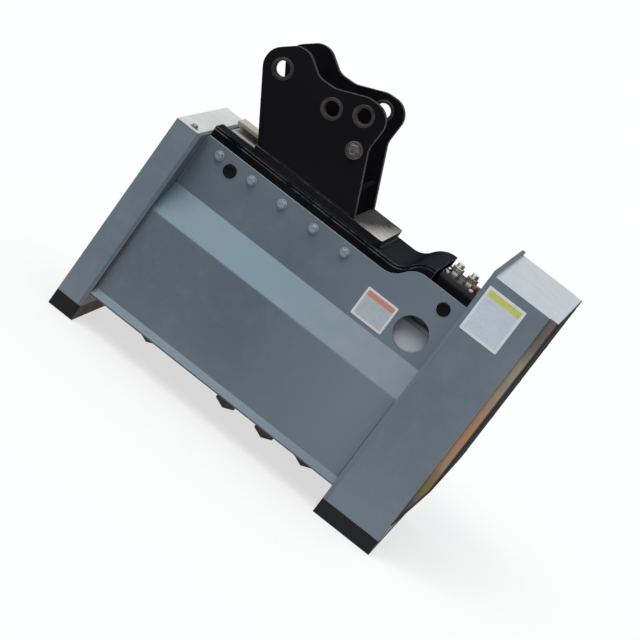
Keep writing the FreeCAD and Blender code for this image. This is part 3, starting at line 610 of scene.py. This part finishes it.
SMALL_CORNER, SMALL_SIZE = (LEFT + 0.5435, 0.441), (0.093, 0.081)
LARGE_CORNER, LARGE_SIZE = (belt_low.x + 0.003, 0.597), (0.110, 0.128)
small_print = printed("small_plate_print", SMALL_CORNER, SMALL_SIZE, margin=0.006,
                      band_height=0.014, border=(0.80, 0.80, 0.81), field=(0.48, 0.54, 0.585),
                      band=(0.62, 0.26, 0.19))
large_print = printed("large_plate_print", LARGE_CORNER, LARGE_SIZE, margin=0.007,
                      band_height=0.017, border=(0.80, 0.84, 0.87), field=(0.64, 0.71, 0.80),
                      band=(0.62, 0.65, 0.15))
for plate_name, print_material, corner, size, y in (
        ("small_blank_plate", small_print, SMALL_CORNER, SMALL_SIZE, -HIGH_FACE),
        ("large_blank_plate", large_print, LARGE_CORNER, LARGE_SIZE, belt_low.y)):
    place = (corner[0], y, corner[1])
    add_piece(plate_name, print_material, "housing_paint",
              lambda bm: thin_plate(bm, place, (1, 0, 0), (0, 0, 1), width=size[0], height=size[1],
                                    thickness=0.0006, radius=0.003))


# Lid and bolts of the end covers

LID = 0.002
SCREW_ROW_INSET = 0.030
SCREW_SIDE_INSET = 0.036
COVER_ROW_INSET = 0.035
COVER_SIDE_INSET = 0.028


def end_lid(bm):
    """Rusty lid sheet that follows the pan's end and its taper."""
    inner = [(PAN_X, PAN_FOOT), (belt_high.x, PAN_TAPER_TOP), (belt_high.x, belt_high.z)]
    outline = [(x - 0.0002, z) for x, z in inner] + [(x + LID, z) for x, z in reversed(inner)]
    sides = [[bm.verts.new((x, y, z)) for x, z in outline]
             for y in (belt_low.y + PAN_INSET, belt_high.y - PAN_INSET)]
    for side in sides:
        bm.faces.new((side[0], side[1], side[4], side[5]))
        bm.faces.new((side[1], side[2], side[3], side[4]))
    for k in range(len(outline)):
        after = (k + 1) % len(outline)
        bm.faces.new((sides[0][k], sides[0][after], sides[1][after], sides[1][k]))


def lid_screws(bm):
    """Low button heads round the lid."""
    rise = belt_high.z - PAN_TAPER_TOP - 2 * SCREW_ROW_INSET
    rows = [PAN_TAPER_TOP + SCREW_ROW_INSET + k * rise / 4 for k in range(5)]
    sides = (belt_low.y + SCREW_SIDE_INSET, belt_high.y - SCREW_SIDE_INSET)
    places = [(y, z) for y in sides for z in rows] + [(0.0, rows[0]), (0.0, rows[-1])]
    head = [(0.0075, -0.0004), (0.0075, 0.0002), (0.0062, 0.0007), (0.0034, 0.0009),
            (0.0030, 0.0004), (0.0, 0.0004)]
    for y, z in places:
        lathe(bm, stand((belt_high.x + LID, y, z), (1, 0, 0)), head, 20)


def bearing_cover_bolts(bm):
    rise = cover_high.z - cover_low.z - 2 * COVER_ROW_INSET
    rows = [cover_low.z + COVER_ROW_INSET + k * rise / 3 for k in range(4)]
    sides = (cover_low.y + COVER_SIDE_INSET, cover_high.y - COVER_SIDE_INSET)
    for k, (y, z) in enumerate([(y, z) for y in sides for z in rows]):
        hex_bolt(bm, (cover_low.x, y, z), (-1, 0, 0), flats=0.011, height=0.005, turn=0.4 * k)


def top_bolt(bm):
    hex_bolt(bm, (cover_low.x + 0.042, cover_low.y + 0.030, cover_high.z), (0, 0, 1), flats=0.014,
             height=0.007, washer=0.012)


# Welds

PANEL_BEAD = 0.004
WELD_GAP = 0.004          # between a bead's end and the nearest bend
REAR_WELD_FOOT = 0.154
BASE_BEAD = 0.006
BASE_BEAD_INSET = 0.014


def housing_welds(bm):
    for k, (x, inward) in enumerate(((bay_low.x, 1), (bay_high.x, -1))):
        spans = (
            (HIGH_FACE, BAND_TOP + WELD_GAP, DECK_TOP - WELD_GAP, BAND_TOP + WELD_GAP),
            (LOW_FACE, LIP_TOP + 0.003, BAND_BOTTOM - WELD_GAP, REAR_WELD_FOOT),
        )
        for n, (depth, front_z0, z1, back_z0) in enumerate(spans):
            weld_bead(bm, (x, -depth, front_z0), (x, -depth, z1), size=PANEL_BEAD,
                      side_a=(inward, 0, 0), side_b=(0, -1, 0), seed=10 * k + n)
            weld_bead(bm, (x, depth, back_z0), (x, depth, z1), size=PANEL_BEAD,
                      side_a=(inward, 0, 0), side_b=(0, 1, 0), seed=50 + 10 * k + n)


def hitch_welds(bm):
    z = base_high.z
    for k, (low, high) in enumerate(((ear_f_low, ear_f_high), (ear_b_low, ear_b_high))):
        for y, out in ((low.y, -1), (high.y, 1)):
            size = 0.0045 if abs(y) > 0.12 else 0.007    # slimmer on the ears' outer faces
            weld_bead(bm, (EAR_FOOT_XS[0], y, z), (EAR_FOOT_XS[1], y, z), size=size,
                      side_a=(0, out, 0), side_b=(0, 0, 1), seed=60 + 2 * k + (out > 0))
    z = saddle_low.z + SADDLE_SHEET
    for y, out in ((base_low.y, -1), (base_high.y, 1)):
        weld_bead(bm, (base_low.x + BASE_BEAD_INSET, y, z), (base_high.x - BASE_BEAD_INSET, y, z),
                  size=BASE_BEAD, side_a=(0, out, 0), side_b=(0, 0, 1), seed=90 + out)
    weld_bead(bm, (base_high.x, base_low.y + BASE_BEAD_INSET, z),
              (base_high.x, base_high.y - BASE_BEAD_INSET, z), size=BASE_BEAD, side_a=(1, 0, 0),
              side_b=(0, 0, 1), seed=99)


add_piece("housing_welds", housing_paint, "housing_paint", housing_welds)
add_piece("hitch_welds", hitch_paint, "hitch_paint", hitch_welds)
add_piece("end_lid", lid_paint, "housing_paint", end_lid)
add_piece("lid_screws", lid_paint, "housing_paint", lid_screws)
add_piece("bearing_cover_bolts", bolt_paint, "housing_paint", bearing_cover_bolts)
add_piece("top_bolt", grey_steel, "shaft_steel", top_bolt)


# Bush rings in the ears' bores, and the keeper bolts below the link pin

def bush_rings(bm):
    ring = [(PIN_RADIUS + 0.0001, -0.006), (PIN_RADIUS + 0.0001, 0.0006),
            (PIN_RADIUS + 0.0008, 0.0014), (PIN_RADIUS + 0.0080, 0.0014),
            (PIN_RADIUS + 0.0090, 0.0006), (PIN_RADIUS + 0.0090, -0.006)]
    for x, z in (ARM_PIN, LINK_PIN, SPARE_PIN):
        for y, out in ((ear_f_low.y, -1), (ear_f_high.y, 1), (ear_b_low.y, -1), (ear_b_high.y, 1)):
            lathe(bm, stand((x, y, z), (0, out, 0)), ring, 48, loop=True)


def keeper_bolt(bm):
    for y, out in ((ear_f_low.y, -1), (ear_b_high.y, 1)):
        hex_bolt(bm, (KEEPER_BOLT[0], y, KEEPER_BOLT[1]), (0, out, 0), flats=0.030, height=0.013,
                 washer=0.0235, turn=0.3)


add_piece("bush_rings", pin_steel, "shaft_steel", bush_rings)
add_piece("keeper_bolts", keeper_steel, "fitting_steel", keeper_bolt)


# Motor trim: swivel nuts on the ports, a drain fitting and two caps

def port_nuts(bm):
    for x in PORT_XS:
        matrix = stand((x, MOTOR_Y, MOTOR_TOP + 0.011), (0, 0, 1), 0.3)
        lathe(bm, matrix,
              [(0.0101, 0.0002), (0.0150, 0.0002), (0.0158, 0.0012), (0.0158, 0.0125),
               (0.0148, 0.0138), (0.0101, 0.0138)], 6, smooth=False, loop=True)
        for k in range(4):
            z = 0.0150 + 0.0021 * k
            lathe(bm, matrix, [(0.0098, z), (0.0104, z + 0.0007), (0.0098, z + 0.0014)], 24,
                  loop=True)


def drain_fitting(bm):
    place = (motor_low.x + 0.010, MOTOR_Y - 0.024, MOTOR_TOP)
    hex_bolt(bm, place, (0, 0, 1), flats=0.014, height=0.007, turn=0.2)
    lathe(bm, stand(place, (0, 0, 1)),
          [(0.0045, 0.004), (0.0045, 0.013), (0.0038, 0.015), (0.0, 0.015)], 20)


def red_cap(bm):
    place = (motor_high.x - 0.022, MOTOR_Y - 0.014, MOTOR_TOP)
    lathe(bm, stand(place, (0, 0, 1)),
          [(0.0085, -0.002), (0.0085, 0.014), (0.0078, 0.0155), (0.0, 0.0158)], 24)


def white_cap(bm):
    place = (motor_high.x - 0.025, MOTOR_Y - 0.036, MOTOR_TOP)
    lathe(bm, stand(place, (0, 0, 1)),
          [(0.0065, -0.002), (0.0065, 0.004), (0.0055, 0.0055), (0.0, 0.0058)], 24)


add_piece("port_nuts", fitting_steel, "fitting_steel", port_nuts)
add_piece("drain_fitting", fitting_steel, "fitting_steel", drain_fitting)
add_piece("red_cap", red_plastic, "motor_paint", red_cap)
add_piece("white_cap", white_plastic, "motor_paint", white_cap)


# Floor, light and camera

FLOOR_RADIUS = 60.0
FLOOR_GLOW = 0.66         # share of white glow in the floor that the camera sees
FLOOR_LIT_SHADE = 0.40    # shade of the floor that lights the machine
SUN_SPREAD = math.radians(38)


def light_path_mix(tree, lit, seen):
    """Mixes to the second shader for camera, glossy and transmission rays."""
    path = tree.nodes.new("ShaderNodeLightPath")
    total = path.outputs["Is Camera Ray"]
    for name in ("Is Glossy Ray", "Is Transmission Ray"):
        node = tree.nodes.new("ShaderNodeMath")
        node.operation = "MAXIMUM"
        tree.links.new(total, node.inputs[0])
        tree.links.new(path.outputs[name], node.inputs[1])
        total = node.outputs["Value"]
    mix = tree.nodes.new("ShaderNodeMixShader")
    tree.links.new(total, mix.inputs["Fac"])
    tree.links.new(lit, mix.inputs[1])
    tree.links.new(seen, mix.inputs[2])
    return mix.outputs["Shader"]


def diffuse(tree, shade):
    node = tree.nodes.new("ShaderNodeBsdfDiffuse")
    node.inputs["Color"].default_value = rgb(shade, shade, shade)
    return node.outputs["BSDF"]


def make_floor():
    mesh = bpy.data.meshes.new("floor")
    bm = bmesh.new()
    bmesh.ops.create_circle(bm, cap_ends=True, radius=FLOOR_RADIUS, segments=96)
    bm.to_mesh(mesh)
    bm.free()
    floor = bpy.data.objects.new("floor", mesh)
    bpy.context.scene.collection.objects.link(floor)
    material = bpy.data.materials.new("floor_material")
    material.use_nodes = True
    tree = material.node_tree
    tree.nodes.clear()
    output = tree.nodes.new("ShaderNodeOutputMaterial")
    glow = tree.nodes.new("ShaderNodeEmission")
    glow.inputs["Strength"].default_value = 1.0
    pale = tree.nodes.new("ShaderNodeMixShader")
    pale.inputs["Fac"].default_value = FLOOR_GLOW
    tree.links.new(diffuse(tree, 1.0), pale.inputs[1])
    tree.links.new(glow.outputs["Emission"], pale.inputs[2])
    tree.links.new(light_path_mix(tree, diffuse(tree, FLOOR_LIT_SHADE), pale.outputs["Shader"]),
                   output.inputs["Surface"])
    mesh.materials.append(material)


def make_world():
    world = bpy.data.worlds.new("world")
    bpy.context.scene.world = world
    world.use_nodes = True
    tree = world.node_tree
    tree.nodes.clear()
    output = tree.nodes.new("ShaderNodeOutputWorld")
    light = tree.nodes.new("ShaderNodeBackground")
    light.inputs["Color"].default_value = (0.92, 0.96, 1.0, 1.0)
    light.inputs["Strength"].default_value = 0.50
    seen = tree.nodes.new("ShaderNodeBackground")
    seen.inputs["Color"].default_value = (1.0, 1.0, 1.0, 1.0)
    seen.inputs["Strength"].default_value = 1.0
    tree.links.new(light_path_mix(tree, light.outputs["Background"], seen.outputs["Background"]),
                   output.inputs["Surface"])


def soft_sun(name, azimuth, elevation, strength, colour):
    data = bpy.data.lights.new(name, "SUN")
    data.energy = strength
    data.angle = SUN_SPREAD
    data.color = colour
    lamp = bpy.data.objects.new(name, data)
    bpy.context.scene.collection.objects.link(lamp)
    a, e = math.radians(azimuth), math.radians(elevation)
    towards = Vector((math.cos(e) * math.sin(a), -math.cos(e) * math.cos(a), math.sin(e)))
    lamp.matrix_world = towards.to_track_quat("Z", "Y").to_matrix().to_4x4()


make_floor()
make_world()
soft_sun("key", azimuth=-32, elevation=56, strength=1.55, colour=(1.0, 0.985, 0.96))
soft_sun("rim", azimuth=150, elevation=60, strength=0.45, colour=(0.96, 0.98, 1.0))

# The camera looks as in the photograph, rolled so that the belt housing hangs low.
EYE = Vector((0.643, -5.919, 1.880))
RIGHT = Vector((0.78432, 0.23081, 0.57582))
DOWN = Vector((0.61235, -0.13942, -0.77819))
FOCUS_PIXELS = 802.35     # focal length in the photograph's pixels
PHOTO_WINDOW = 212.0      # width of the part of the photograph that the picture fills
SENSOR_WIDTH = 36.0

camera_data = bpy.data.cameras.new("camera")
camera = bpy.data.objects.new("camera", camera_data)
bpy.context.scene.collection.objects.link(camera)
right = RIGHT.normalized()
up = (-DOWN - right * right.dot(-DOWN)).normalized()
back = right.cross(up)
camera.matrix_world = Matrix((
    (right.x, up.x, back.x, EYE.x),
    (right.y, up.y, back.y, EYE.y),
    (right.z, up.z, back.z, EYE.z),
    (0, 0, 0, 1),
))
camera_data.sensor_width = SENSOR_WIDTH
camera_data.lens = SENSOR_WIDTH * FOCUS_PIXELS / PHOTO_WINDOW
camera_data.clip_end = 200.0
bpy.context.scene.camera = camera
bpy.context.scene.view_settings.view_transform = "Standard"
